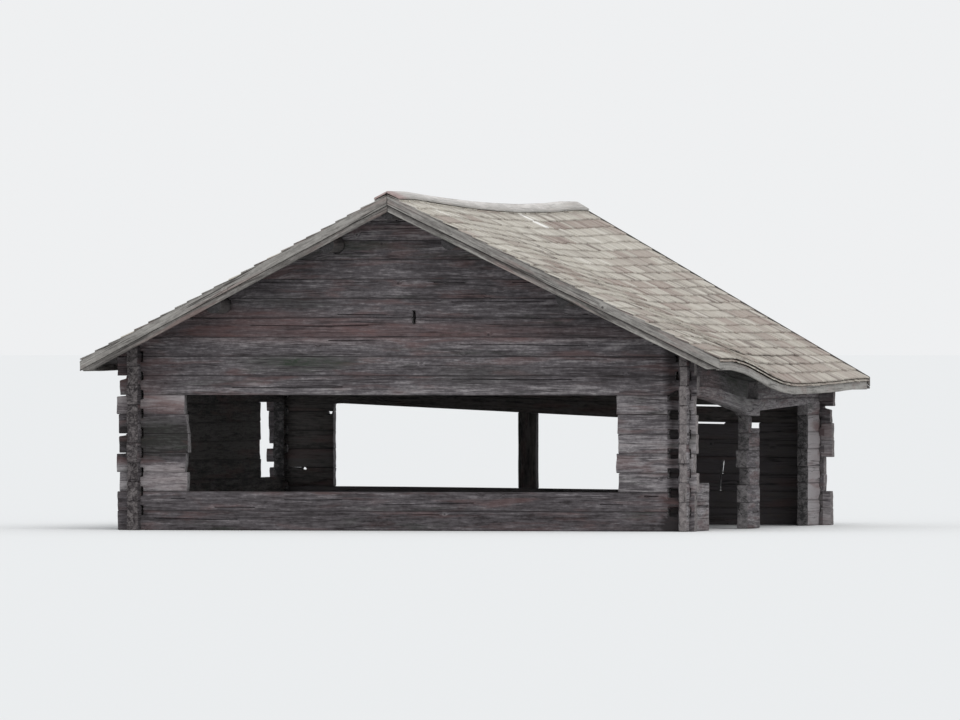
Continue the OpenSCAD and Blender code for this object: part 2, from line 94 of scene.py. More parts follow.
# Paleness of the logs from the lowest up, or of a log's lower and upper edge; some of them hold
# painted light and painted shade, as marked
LOG_TONES = {
    "front_sill_logs": [0.3, 0.38],
    "front_left_pier": [0.85, (0.85, 0.2), 0.04, (0.04, 0.35), (0.62, 1.0)],
    "front_right_pier": [0.52, 0.58, 0.6, 0.52, 0.56],
    "front_lintel_logs": [(0.5, 0.3), (0.3, 0.42)],
    # Paler towards the top: painted light against the shade under the roof
    "front_gable_logs": [
        (0.42, 0.56), (0.34, 0.4), 0.4, 0.42, (0.5, 0.42), 0.44, 0.5, 0.54, 0.56, 0.62,
        0.64, 0.66],
    "right_front_stubs": [0.7, 0.65, 0.6, 0.6, 0.65, 0.6],
    "rear_sill_logs": [0.85, 0.8],
    "rear_right_pier": [0.9, 0.95, 0.9, 0.85, 0.9],
    "rear_lintel_logs": [0.4, 0.5, 0.5, 0.45],
    "right_middle_pier": [0.6, 0.55, 0.6, 0.5, 0.55, 0.5],
    # Paler than the other piers: painted light on the outer face of the right wall's back pier
    "right_rear_pier": [1.4, 1.35, 1.4, 1.3, 1.35, 1.3],
    # The upper lintel log and the plate log of the right wall are dark as painted shade under the
    # eave
    "right_lintel_logs": [0.66, 0.52, 0.28],
    "right_plate_log": [0.1],
}
# Paleness of the ends of a node's logs where it isn't the usual one; one of them holds painted
# shade, as marked
USUAL_END = 0.45
# Low paleness of the purlins' ends: painted shade, for the shadow they lie in under the barge
# boards
PURLIN_END_SHADE = -0.15
END_TONES = {
    "left_sill_logs": 0.04, "left_wall_logs": 0.0, "left_top_logs": 0.1,
    # The right wall's back pier (right_rear_pier) has dark ends: painted shade on its end that
    # faces the front
    "left_rear_stubs": -0.1, "right_rear_pier": 0.0, "right_middle_pier": 0.3,
    "right_front_stubs": 0.46, "right_lintel_logs": 0.5, "right_plate_log": 0.3,
    "front_right_pier": 0.65,
}
# Length of the stretches over which a stick's middle line is found, and one that is longer
# than any board, so that its middle line is taken as straight
STRETCH, WHOLE = 0.1, 8.0
# Distance under which corners of the CAD model are one, and the turn up to which it is flat
WELD, FLAT = 0.00002, math.radians(0.2)
# Turn between two faces over which an edge is rounded, and over which it is shaded sharp
ROUNDED, SHARP = math.radians(35), math.radians(38)
# Paleness of the lower and the upper of the two lapped barge boards; the lower one is darker as
# painted shade under the upper one, the front right one only along its upper edge
BARGE_TONES = {
    "front_left": [0.3, 0.7], "front_right": [(0.75, 0.05), 0.65],
    # The top edge of the back right upper board is darkened as a painted shadow line
    "rear_left": [0.3, 0.5], "rear_right": [0.3, (0.5, 0.1)],
}
# Place in the plan of the two bleached shingles, between their lower edges
BLEACHED = (0.406, 0.75)
# How far inside a roof layer's edges its height is read, the step that gives its slope
# at the eave, and the roof's usual fall over that step
INSIDE, PROBE, USUAL_FALL = 0.001, 0.05, 0.02
# Thickness and length of the roof boards
BOARD_THICK, BOARD_LONG = 0.024, 3.2
# Spacing of the cuts across the purlins, and the depth of their wear
PURLIN_SLICE, PURLIN_WEAR = 0.15, 0.006
# The same for the ridge, barge and eave boards, and the rounding of their edges
TRIM_SLICE, TRIM_WEAR, TRIM_ARRIS = 0.11, 0.004, 0.004
# Dark stretches of the right slope: the course from the ridge, from and to along Y
DARK_STRETCHES = [(3, 0.95, 1.5), (3, 1.75, 3.0)]
# Past the building's end on any side
FAR = 9.0
# Where wear has changed the logs' shape: how the nodes' names begin, the ranges that hold
# the corners moved, the axis that they move along and how far they have gone
WORN_PLACES = [
    # Ends of the front wall's logs past the right wall
    ("front", {X: (2.77, FAR)}, X, -0.062),
    # Ends of the left pier's logs at the front opening, and more of its top and lowest one
    ("front_left_pier", {X: (-2.2, FAR)}, X, -0.025),
    ("front_left_pier", {X: (-2.25, FAR), Z: (1.079, FAR)}, X, -0.02),
    ("front_left_pier", {X: (-2.25, FAR), Z: (-FAR, 0.541)}, X, -0.015),
    # Hollows of the front right corner under the eave
    (("front_lintel", "front_gable"), {X: (2.478, 2.482), Z: (1.3, FAR)}, X, 0.072),
    # Inner edge of the right wall's log ends
    ("right", {X: (-FAR, 2.6), Y: (-FAR, -2.75)}, X, 0.035),
    # Open joints over and under the lowest back lintel log
    ("rear_right_pier", {X: (1.1, 1.76), Z: (0.945, 0.966)}, Z, 0.012),
    ("rear_lintel_logs", {X: (1.1, 1.76), Z: (1.11, 1.13)}, Z, 0.014),
    # Right side of the hole under that log
    ("rear_right_pier", {X: (2.12, 2.13), Z: (0.89, 0.98)}, X, -0.04),
    # Right side of the slanting crack
    ("rear_right_pier", {X: (1.7155, 1.7165), Z: (0.3, 0.37)}, X, -0.006),
    ("rear_right_pier", {X: (1.7315, 1.734), Z: (0.48, 0.5)}, X, -0.006),
    ("rear_right_pier", {X: (1.7505, 1.7515), Z: (0.62, 0.64)}, X, -0.006),
    # Small gaps of the back left pier
    ("rear_left_pier", {X: (-2.401, -2.395)}, X, 0.018),
    ("rear_left_pier", {X: (-2.139, -2.133)}, X, -0.029),
    ("rear_left_pier", {X: (-2.115, -2.109)}, X, -0.013),
    # Right side of the air slit in the front gable
    ("front_gable_logs", {X: (0.076, 0.078), Z: (1.9, 2.1)}, X, -0.016),
    # Broken top of the middle pier
    ("right_middle_pier", {Y: (-0.22, FAR), Z: (0.95, 0.958)}, Z, -0.014),
]
# Tinted patches of the outer walls, green below 0 and red over it: the wall, the middle
# and the half size along the wall and up it, and the tint
TINTS = [
    ("front", (-1.07, 1.57), (0.55, 0.06), -0.9),
    ("front", (-0.3, 1.84), (2.4, 0.1), 0.55),
    ("front", (-1.6, 2.0), (0.8, 0.12), 0.5),
    ("front", (-1.2, 2.1), (0.5, 0.07), -0.45),
    ("front", (-2.4, 1.17), (0.35, 0.1), 0.45),
    ("front", (-2.4, 0.88), (0.35, 0.2), -0.5),
    ("front", (-2.3, 0.5), (0.35, 0.12), 0.3),
    ("front", (-2.6, 1.4), (0.3, 0.3), 0.3),
    ("front", (0.7, 1.45), (0.5, 0.1), -0.3),
    ("right", (-2.0, 1.3), (0.9, 0.16), 0.45),
    ("right", (-0.6, 1.4), (0.8, 0.3), -0.7),
    ("right", (2.6, 0.7), (0.4, 0.6), 0.35),
]
# Share of a log's length that has a drying check, on its outer and its inner side
OUTER_CHECKS, INNER_CHECKS = 0.5, 0.3
# Foot of the one log of the left back corner whose end is still whole underneath
SOUND_END = 5 * COURSE
# The front bay of the right wall, from and to along Y, up to the middle pier
FRONT_BAY = (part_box("right_front_stubs")[0].y + 0.39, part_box("right_middle_pier")[0].y)
# Height of the front opening's upper edge
OPENING_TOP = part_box("front_lintel_logs")[0].z
# Bare necks of the front wall in the hollow of its right corner, darkened as painted shade, from
# and to along X
HOLLOW = (WALL_X - 0.215, WALL_X - 0.105)


def colour(name, description, default):
    """Property for a colour of the building."""
    return FloatVectorProperty(
        name=name, description=description, default=default,
        subtype="COLOR", size=3, min=0.0, max=1.0)


def number(name, description, default, **more):
    """Property for a plain number, an angle or a size."""
    return FloatProperty(name=name, description=description, default=default, **more)


def length(name, description, default):
    """Property for a size in metres."""
    return number(name, description, default, unit="LENGTH", precision=4)


class BoathouseLogs(bpy.types.PropertyGroup):
    """Sizes of the hewn logs' surface"""
    arris: length("Arris", "Rounding of the logs' long edges", 0.01)
    slice: length("Slice", "Spacing of the cuts across the logs", 0.085)
    rows: IntProperty(name="Rows", description="Rows of faces up the side of a log", default=4)
    wear: length("Wear", "Depth of the hollows that weather and axe have left", 0.011)
    sway: length("Sway", "How far the grain sways up and down along a log", 0.007)
    check_w: length("Check width", "Width of a drying check at its mouth", 0.008)
    check_d: length("Check depth", "Depth of a drying check", 0.018)
    worn_back: length("Worn back", "Length lost by the log ends of the left back corner", 0.046)
    worn_under: length("Worn under", "Height lost by the undersides of those ends", 0.05)
    arch: length("Arch", "Height hewn off the log over the front bay at its front end", 0.085)
    seed: IntProperty(name="Seed", description="Seed of the logs' random tones", default=7)


class BoathouseRoof(bpy.types.PropertyGroup):
    """Sizes of the shingles and boards of the roof"""
    exposure: length("Exposure", "Bare length of a shingle", 0.151)
    shingle_w: length("Shingle width", "Usual width of a shingle", 0.105)
    shingle_l: length("Shingle length", "Length of a shingle, of which most is covered", 0.42)
    shingle_t: length("Shingle thickness", "Thickness at the lower edge", 0.012)
    layer: length("Layer", "Upright thickness of the layer of shingles", 0.06)
    board_w: length("Board width", "Usual width of a roof board", 0.165)
    board_gap: length("Board gap", "Gap between roof boards", 0.005)
    lean: number("Lean", "Fall of a shingle towards its hidden top, to its length", 0.082)
    starter: length("Starter", "How far the doubled course lies under the last one", 0.028)
    verge: length("Verge", "How far the shingle edges show over the barge boards", 0.024)
    cover_w: length("Cover width", "Width of the upper of the two lapped barge boards", 0.08)
    lap: length("Lap", "How far the lower barge board is set back", 0.009)
    seed: IntProperty(name="Seed", description="Seed of the roof's random sizes", default=21)


class BoathouseColours(bpy.types.PropertyGroup):
    """Colours of the weathered wood"""
    log_dark: colour("Dark log", "Dark grain and checks of the logs", (0.026, 0.022, 0.023))
    log_mid: colour("Log", "Usual colour of the logs", (0.098, 0.088, 0.093))
    log_pale: colour("Pale log", "Bleached grain of the logs", (0.3, 0.28, 0.283))
    log_warm: colour("Warm log", "Red-brown patches of the logs", (0.125, 0.07, 0.066))
    algae: colour("Algae", "Green-black film on damp wood", (0.03, 0.038, 0.028))
    end_pale: colour("Log end", "Cut ends of the logs", (0.3, 0.27, 0.265))
    inside: colour("Inside", "Sheltered wood", (0.105, 0.096, 0.091))
    black: colour("Black", "Grain and checks of sheltered wood", (0.028, 0.027, 0.027))
    shingle: colour("Shingle", "Usual colour of the shingles", (0.575, 0.54, 0.47))
    shingle_pale: colour("Pale shingle", "Bleached shingles", (0.76, 0.73, 0.66))
    shingle_bright: colour("Bright shingle", "The two bright shingles", (0.92, 0.9, 0.86))
    shingle_dark: colour("Dark shingle", "Dark and rotten shingles", (0.2, 0.17, 0.15))
    shingle_brown: colour("Brown shingle", "Red-brown shingles", (0.31, 0.235, 0.205))
    lichen: colour("Lichen", "Lichen on the shingles", (0.48, 0.49, 0.38))
    board_dark: colour("Dark board", "Dark grain of the boards", (0.05, 0.045, 0.042))
    board: colour("Board", "Barge and eave boards", (0.16, 0.15, 0.14))
    board_pale: colour("Pale board", "Bleached grain of those boards", (0.36, 0.345, 0.32))
    board_warm: colour("Warm board", "Pink patches of the boards", (0.24, 0.16, 0.145))
    bleached: colour("Bleached board", "Boards on the ridge", (0.56, 0.53, 0.5))
    bleached_pale: colour("White grain", "Palest grain of the ridge boards", (0.72, 0.69, 0.66))
    bleached_warm: colour("Warm ridge", "Warm patches of the ridge boards", (0.5, 0.44, 0.4))
    bleached_damp: colour("Damp ridge", "Damp patches of the ridge boards", (0.5, 0.5, 0.46))
    bleached_worn: colour("Worn ridge", "Front end of the ridge boards", (0.34, 0.23, 0.22))
    floor: colour("Floor", "Floor round the building", (0.78, 0.78, 0.77))


class BoathouseStage(bpy.types.PropertyGroup):
    """Camera and light"""
    azimuth: number(
        "Azimuth", "Direction of the camera round the building", math.radians(14),
        subtype="ANGLE")
    elevation: number(
        "Elevation", "Angle of the camera over the building's middle", math.radians(0.17),
        subtype="ANGLE")
    distance: length("Distance", "Distance from the camera to the building's middle", 180.0)
    lens: number("Lens", "Focal length of the camera in millimetres", 715.0, min=1.0)
    sky: number("Sky", "Strength of the even light from all round", 0.75, min=0.0)
    sun: number("Lamp", "Strength of the wide soft lamp", 1.6, min=0.0)


class Value:
    """A number in a node tree; an expression on it adds Math nodes."""

    def __init__(self, graph, socket):
        self.graph, self.socket = graph, socket

    def __add__(self, other):
        return self.graph.math("ADD", self, other)

    __radd__ = __add__

    def __sub__(self, other):
        return self.graph.math("SUBTRACT", self, other)

    def __rsub__(self, other):
        return self.graph.math("SUBTRACT", other, self)

    def __mul__(self, other):
        return self.graph.math("MULTIPLY", self, other)

    __rmul__ = __mul__

    def __abs__(self):
        return self.graph.math("ABSOLUTE", self)

    def step(self, low, high):
        """Smooth rise from 0 at low to 1 at high."""
        return self.graph.node(
            "ShaderNodeMapRange", {"Value": self, "From Min": low, "From Max": high},
            interpolation_type="SMOOTHSTEP")

    def clamped(self):
        """The value kept between 0 and 1."""
        return self.graph.node("ShaderNodeClamp", [self, 0.0, 1.0])


class Graph:
    """A node tree of a material, a modifier or the world."""

    def __init__(self, tree):
        self.tree = tree

    def node(self, kind, inputs=(), output=0, **settings):
        """Add a node: its settings first, then the values or links of its sockets.

        A tuple of outputs gives a value for each of them.
        """
        made = self.tree.nodes.new(kind)
        for name, value in settings.items():
            setattr(made, name, value)
        for name, value in inputs.items() if isinstance(inputs, dict) else enumerate(inputs):
            if isinstance(value, Value):
                self.tree.links.new(value.socket, made.inputs[name])
            else:
                made.inputs[name].default_value = value
        if isinstance(output, tuple):
            return [Value(self, made.outputs[name]) for name in output]
        return Value(self, made.outputs[output])

    def end(self, kind, name, value):
        """Add the tree's last node and link a value to its socket."""
        self.tree.links.new(value.socket, self.tree.nodes.new(kind).inputs[name])

    def math(self, operation, *inputs):
        """Arithmetic on numbers."""
        return self.node("ShaderNodeMath", inputs, operation=operation)

    def vectors(self, operation, *inputs, output=0):
        """Arithmetic on vectors."""
        return self.node("ShaderNodeVectorMath", inputs, output, operation=operation)

    def joined(self, *values):
        """A vector of three numbers."""
        return self.node("ShaderNodeCombineXYZ", values)

    def parts(self, vector, output):
        """One or some of a vector's three numbers."""
        return self.node("ShaderNodeSeparateXYZ", [vector], output)

    def attribute(self, name, output="Fac"):
        """A value stored on the mesh, for a material."""
        return self.node("ShaderNodeAttribute", output=output, attribute_name=name)

    def place(self):
        """Where a point is in the building."""
        return self.node("ShaderNodeTexCoord", output="Object")

    def noise(self, vector, scale, detail=4.0, rough=0.55, distort=0.0):
        """Noise between 0 and 1 on coordinates stretched by scale."""
        return self.node(
            "ShaderNodeTexNoise",
            {"Vector": self.vectors("MULTIPLY", vector, scale), "Scale": 1.0,
             "Detail": detail, "Roughness": rough, "Distortion": distort})

    def lines(self, vector, scale, width, where):
        """Thin wandering lines where the second noise is high."""
        across = self.noise(vector, scale, 2.0, 0.4)
        spread = self.noise(vector, (scale[0] * 1.7, scale[1] * 0.4, scale[2] * 0.4), 1.0)
        return (1 - abs(across - 0.5).step(0.0, width)) * spread.step(where, where + 0.1)

    def mix(self, share, first, second):
        """Blend of two colours."""
        first, second = [c if isinstance(c, Value) else (*c, 1.0) for c in (first, second)]
        return self.node(
            "ShaderNodeMix", {0: share, 6: first, 7: second}, 2, data_type="RGBA")


def emptied(owner):
    """The emptied node tree of a material or a world."""
    owner.use_nodes = True
    owner.node_tree.nodes.clear()
    return Graph(owner.node_tree)


def knots(graph, grain, per_metre=5.0, radius=0.016):
    """Knots here and there in the wood: their dark middles, and the swell round them."""
    far, pick_of = graph.node(
        "ShaderNodeTexVoronoi", {"Vector": grain, "Scale": per_metre, "Randomness": 1.0},
        ("Distance", "Color"))
    size = radius * per_metre
    chosen = graph.node("ShaderNodeSeparateColor", [pick_of]).step(0.55, 0.6)
    return far.step(size, size * 0.6) * chosen, far.step(size * 3.2, size) * chosen


def wood(graph, dark, mid, pale, warm, stain, paleness):
    """Weathered wood: streaks and checks along the grain, knots, warm and damp patches, and dirt
    and painted shade at the long edges.
    """
    grain = graph.attribute("grain", "Vector")
    tone = graph.attribute("tone") + paleness
    edge = graph.attribute("edge")
    knot, swell = knots(graph, grain)
    bent = graph.vectors("ADD", grain, graph.joined(0.0, swell * 0.01, swell * 0.016))
    broad = graph.noise(bent, (2.2, 17, 17), 4.0, 0.6).step(0.3, 0.7)
    streak = graph.noise(bent, (4.5, 58, 58), 4.0, 0.65).step(0.32, 0.68)
    fine = graph.noise(bent, (14, 210, 210), 2.0, 0.6).step(0.3, 0.7)
    mottle = graph.noise(grain, (20, 34, 34), 4.0, 0.65).step(0.3, 0.7)
    tint = graph.attribute("tint")
    blush = graph.noise(grain, (1.4, 5, 9), 4.0, 0.6, 0.4).step(0.5, 0.68)
    damp = graph.noise(grain, (0.9, 4, 7), 4.0, 0.6, 0.3).step(0.57, 0.72)
    checks = graph.lines(bent, (0.8, 34, 34), 0.035, 0.48)
    light = (tone + broad * 0.26 + streak * 0.36 + fine * 0.16 + mottle * 0.22 - 0.5).clamped()
    base = graph.mix((light * 2).clamped(), dark, mid)
    base = graph.mix((light * 2 - 1).clamped(), base, pale)
    base = graph.mix((blush * 0.45 + tint * (0.3 + broad * 0.6)).clamped(), base, warm)
    base = graph.mix((damp * 0.55 - tint * (0.3 + mottle * 0.6)).clamped(), base, stain)
    # Darker along the long edges: dirt in the joints, and painted shade where one log or board
    # meets the next
    joint_dirt_and_shade = edge.step(0.8, 1.0) * 0.35
    base = graph.mix((checks * 0.8 + knot * 0.75 + joint_dirt_and_shade).clamped(), base, dark)
    rough = 0.95 - light * 0.2
    height = streak * 0.5 + fine * 0.22 + broad * 0.2 - checks * 0.9 + swell * 0.3
    return base, rough, height, 0.006


def end_grain(graph, dark, pale):
    """Cut end of a log: rings round its heart, checks running out from it, hack marks."""
    core = graph.attribute("core", "Vector")
    grain = graph.attribute("grain", "Vector")
    tone = graph.attribute("end")
    right, rise = graph.parts(core, ("Y", "Z"))
    wobble = graph.noise(grain, (1, 9, 9), 2.0, 0.5)
    around = graph.vectors("LENGTH", core, output="Value")
    rings = graph.math("SINE", around * 560 + wobble * 14)
    turn = graph.math("ARCTAN2", rise, right)
    own = graph.parts(grain, "X")
    spokes = graph.joined(turn * 1.3, around * 3 + wobble * 0.4, own * 0.7)
    split = graph.lines(spokes, (1, 1, 1), 0.04, 0.5)
    hacked = graph.noise(grain, (1, 45, 90), 4.0, 0.7).step(0.3, 0.7)
    blotch = graph.noise(grain, (1, 18, 24), 3.0, 0.6).step(0.35, 0.65)
    light = (tone * 0.8 - 0.12 + rings * 0.05 + hacked * 0.3 + blotch * 0.3
             - split * 0.35).clamped()
    base = graph.mix(light, dark, pale)
    return base, 0.95 - light * 0.1, hacked * 0.6 + rings * 0.12 - split, 0.005


def shingle_wood(graph, c):
    """Split shingle: pale ridged wood, some brown or dark, with lichen, a worn butt and painted
    shade under the next course's butt.
    """
    grain = graph.attribute("grain", "Vector")
    tone = graph.attribute("tone")
    brown = graph.attribute("brown")
    along = graph.attribute("edge")
    place = graph.place()
    ridges = graph.noise(grain, (6, 130, 30), 4.0, 0.65).step(0.3, 0.7)
    broad = graph.noise(grain, (9, 28, 10), 3.0, 0.6).step(0.3, 0.7)
    stains = graph.noise(place, (1.4, 1.4, 1.4), 4.0, 0.6).step(0.42, 0.68)
    lichen = graph.noise(place, (26, 26, 26), 3.0, 0.6).step(0.58, 0.7)
    # Darker at the worn butt, and in a band just below the next course's butt as painted shade
    worn = along.step(0.04, 0.0) * 0.3 + along.step(0.31, 0.37) * 0.25
    level = (tone + broad * 0.2 + ridges * 0.16 - 0.18).clamped()
    base = graph.mix(level.step(0.0, 0.5), c.shingle_dark, c.shingle)
    base = graph.mix(level.step(0.55, 1.0), base, c.shingle_pale)
    base = graph.mix((brown * (0.55 + broad * 0.4)).clamped(), base, c.shingle_brown)
    base = graph.mix(stains * 0.16, base, c.shingle_dark)
    base = graph.mix(lichen * 0.35, base, c.lichen)
    base = graph.mix(tone.step(1.2, 1.5) * (0.8 + ridges * 0.2), base, c.shingle_bright)
    base = graph.mix((worn + (1 - ridges) * 0.12).clamped(), base, c.shingle_dark)
    return base, 0.95 - ridges * 0.15, ridges + lichen * 0.2, 0.003


def bleached_wood(graph, c):
    """Sawn board bleached almost white, and red-brown where the front end is worn."""
    base, rough, height, depth = wood(
        graph, c.board_pale, c.bleached, c.bleached_pale, c.bleached_warm, c.bleached_damp, 0.35)
    worn = graph.parts(graph.place(), "Y").step(CAD_LOW.y + 0.5, CAD_LOW.y) * 0.75
    return graph.mix(worn, base, c.bleached_worn), rough, height, depth


def log_wood(graph, c, paleness=0.0):
    """Outer side of a hewn log."""
    return wood(graph, c.log_dark, c.log_mid, c.log_pale, c.log_warm, c.algae, paleness)


def dry_wood(graph, c):
    """Dark wood that the roof shelters."""
    return wood(graph, c.black, c.inside, c.log_mid, c.log_warm, c.black, 0.0)


def trim_wood(graph, c):
    """Sawn barge and eave boards."""
    return wood(graph, c.board_dark, c.board, c.board_pale, c.board_warm, c.algae, 0.1)


# How each finish is made; the first six are those of the record's material slots
FINISHES = {
    "dark_logs_hewn": log_wood,
    "grey_logs_hewn": lambda graph, c: log_wood(graph, c, 0.08),
    "roof_timber_rough": dry_wood,
    "shingles_split": shingle_wood,
    "bleached_boards_sawn": bleached_wood,
    "trim_boards_sawn": trim_wood,
    "log_ends_hacked": lambda graph, c: end_grain(graph, c.log_dark, c.end_pale),
    "log_ends_sheltered": lambda graph, c: end_grain(graph, c.black, c.log_pale),
    # The purlins' ends: hack marks in dark colours, which are painted shade
    "purlin_ends_hacked": lambda graph, c: end_grain(graph, c.black, c.log_mid),
    "logs_inside": dry_wood,
}


def finish(name):
    """The finish of that name, made when it is first asked for."""
    if name in bpy.data.materials:
        return bpy.data.materials[name]
    material = bpy.data.materials.new(name)
    graph = emptied(material)
    base, rough, height, depth = FINISHES[name](graph, bpy.context.scene.boathouse_colours)
    normal = graph.node(
        "ShaderNodeBump", {"Strength": 0.8, "Distance": depth, "Height": height})
    graph.end("ShaderNodeOutputMaterial", "Surface", graph.node(
        "ShaderNodeBsdfPrincipled",
        {"Base Color": base, "Roughness": rough, "Normal": normal,
         "Specular IOR Level": 0.25}))
    return material


def pick(*objects):
    """Select only these objects; the first is the active one."""
    bpy.ops.object.select_all(action="DESELECT")
    for item in objects:
        item.select_set(True)
    bpy.context.view_layer.objects.active = objects[0]


def edit(obj, kind="VERT"):
    """Enter edit mode on one object with all its corners, edges or faces selected."""
    pick(obj)
    bpy.ops.object.mode_set(mode="EDIT")
    bpy.ops.mesh.select_mode(type=kind)
    bpy.ops.mesh.select_all(action="SELECT")


def leave_edit():
    """Go back to object mode."""
    bpy.ops.object.mode_set(mode="OBJECT")


def cad_copy(node, ending):
    """Copy of a CAD node, named by it and an ending, with its triangles merged into faces."""
    source = frame["nodes"][node]
    obj = source.copy()
    obj.data = source.data.copy()
    obj.name = obj.data.name = node + ending
    obj.parent = None
    bpy.context.collection.objects.link(obj)
    obj.data.materials.clear()
    pick(obj)
    bpy.ops.mesh.customdata_custom_splitnormals_clear()
    edit(obj)
    bpy.ops.mesh.remove_doubles(threshold=WELD)
    bpy.ops.mesh.dissolve_limited(angle_limit=FLAT)
    leave_edit()
    return obj


def select_parts(obj, kind, parts, chosen):
    """Enter edit mode with only the chosen ones of the edges or faces selected."""
    edit(obj, kind)
    bpy.ops.mesh.select_all(action="DESELECT")
    leave_edit()
    parts.foreach_set("select", chosen)
    bpy.ops.object.mode_set(mode="EDIT")


def cut_across(axis, place):
    """Cut the mesh being edited by one plane square to an axis."""
    bpy.ops.mesh.select_all(action="SELECT")
    bpy.ops.mesh.bisect(plane_co=np.eye(3)[axis] * place, plane_no=np.eye(3)[axis])


def slice_across(obj, axis, step):
    """Cut the whole mesh by evenly spaced planes square to an axis."""
    ends = [corner[axis] for corner in obj.bound_box]
    low, high = min(ends), max(ends)
    count = int((high - low) / step)
    edit(obj)
    for i in range(1, count + 1):
        cut_across(axis, low + i * (high - low) / (count + 1))
    leave_edit()


def read(items, name, width=1, kind=float):
    """A value or a row of values of each item."""
    values = np.empty(len(items) * width, kind)
    items.foreach_get(name, values)
    return values.reshape(-1, width) if width > 1 else values


def points_of(obj):
    """The places of a mesh's vertices as rows of x, y, z."""
    return read(obj.data.vertices, "co", 3)


def set_points(obj, co):
    """Move the vertices of a mesh to new places."""
    obj.data.vertices.foreach_set("co", co.ravel())


def store(obj, **layers):
    """Write one value or vector per vertex into each named attribute."""
    for name, values in layers.items():
        values = np.asarray(values, dtype=np.float32)
        kind, key = ("FLOAT_VECTOR", "vector") if values.ndim > 1 else ("FLOAT", "value")
        attributes = obj.data.attributes
        layer = attributes.get(name) or attributes.new(name, kind, "POINT")
        layer.data.foreach_set(key, values.ravel())


def edges_of(obj):
    """The two vertices of each edge."""
    return read(obj.data.edges, "vertices", 2, np.int32).T


def faces_of(obj):
    """Centre, normal, area, first corner and the vertex of every corner of the faces."""
    faces = obj.data.polygons
    return (read(faces, "center", 3), read(faces, "normal", 3), read(faces, "area"),
            read(faces, "loop_start", 1, np.int32),
            read(obj.data.loops, "vertex_index", 1, np.int32))


def box_area(along, height, start, corners):
    """Area of the upright rectangle round each face."""
    spread = [np.maximum.reduceat(v[corners], start) - np.minimum.reduceat(v[corners], start)
              for v in (along, height)]
    return spread[0] * spread[1]


def sticks(obj):
    """Which vertices belong to each loose stick, from the lowest stick up."""
    first, second = edges_of(obj)
    co = points_of(obj)
    label = np.arange(len(co))
    while (label[first] != label[second]).any():
        least = np.minimum(label[first], label[second])
        np.minimum.at(label, first, least)
        np.minimum.at(label, second, least)
        label = label[label]

    def height_first(own):
        middle = (co[own].min(0) + co[own].max(0)) / 2
        return round(middle[Z], 2), middle[X], middle[Y]

    return sorted((label == root for root in np.unique(label)), key=height_first)


def spans(along, across, at, width=STRETCH):
    """Middle and half of a long piece's span across, at places along it."""
    bins = ((along - along.min()) / width).astype(int)
    rows = []
    for b in np.unique(bins):
        part = across[bins == b]
        rows.append((along[bins == b].mean(), (part.min() + part.max()) / 2, np.ptp(part) / 2))
    places, middles, halves = np.transpose(rows)
    return np.interp(at, places, middles), np.interp(at, places, halves)


def cut_rows(obj, up, count):
    """Cut the upright faces of logs into rows that follow each log."""
    co = points_of(obj)
    first, second = edges_of(obj)
    run = co[second] - co[first]
    size = np.linalg.norm(run, axis=1)
    chosen = (abs(run @ up) > 0.97 * size) & (size > 0.05)
    select_parts(obj, "EDGE", obj.data.edges, chosen)
    bpy.ops.mesh.subdivide(number_cuts=count - 1)
    leave_edit()


def sway_rows(obj, direction, up, sway, rng):
    """Let the rows of each log wander up and down between its seats."""
    co = points_of(obj)
    along, height = co @ direction, co @ up
    for own in sticks(obj):
        middle, half = spans(along[own], height[own], along[own])
        inner = np.clip(1 - ((height[own] - middle) / half) ** 2, 0, 1)
        turn, next_turn = rng.uniform(0, 6), rng.uniform(0, 6)
        wave = np.sin(2.1 * along[own] + turn) + 0.5 * np.sin(5.7 * along[own] + next_turn)
        co[own] += np.outer(sway * wave * inner, up)
    set_points(obj, co)


def open_checks(obj, direction, up, outward, logs, share, rng):
    """Press narrow drying checks along the logs into their faces that look outward."""
    co = points_of(obj)
    centre, normal, area, start, corners = faces_of(obj)
    corner = corners[start]
    row = (COURSE - 2 * logs.arris) / logs.rows
    full = 0.9 * row * logs.slice
    square = area > 0.93 * box_area(co @ direction, co @ up, start, corners)
    chosen = np.zeros(len(centre), dtype=bool)
    for stick in sticks(obj):
        own = stick[corner]
        middle, half = spans(co[stick] @ direction, co[stick] @ up, centre[own] @ direction)
        along = centre[own] @ direction
        level = (centre[own] @ up - middle) / np.maximum(half - logs.arris, 0.001)
        wide = (normal[own] @ outward > 0.98) & (area[own] > full) & square[own]
        taken = np.zeros(len(along), dtype=bool)
        low = along.min() + rng.uniform(0.0, 0.5)
        while low < along.max():
            high = low + rng.uniform(0.2, 1.3)
            target = (rng.randrange(logs.rows) + 0.5) * 2 / logs.rows - 1
            if rng.random() < share:
                taken |= (along > low) & (along < high) & (abs(level - target) < 0.6 / logs.rows)
            low = high + rng.uniform(0.15, 0.6)
        chosen[own] = taken & wide
    if not chosen.any():
        return
    select_parts(obj, "FACE", obj.data.polygons, chosen)
    bpy.ops.mesh.inset(thickness=(row - logs.check_w) / 2, depth=0.0)
    bpy.ops.mesh.inset(thickness=logs.check_w * 0.35, depth=-logs.check_d)
    leave_edit()


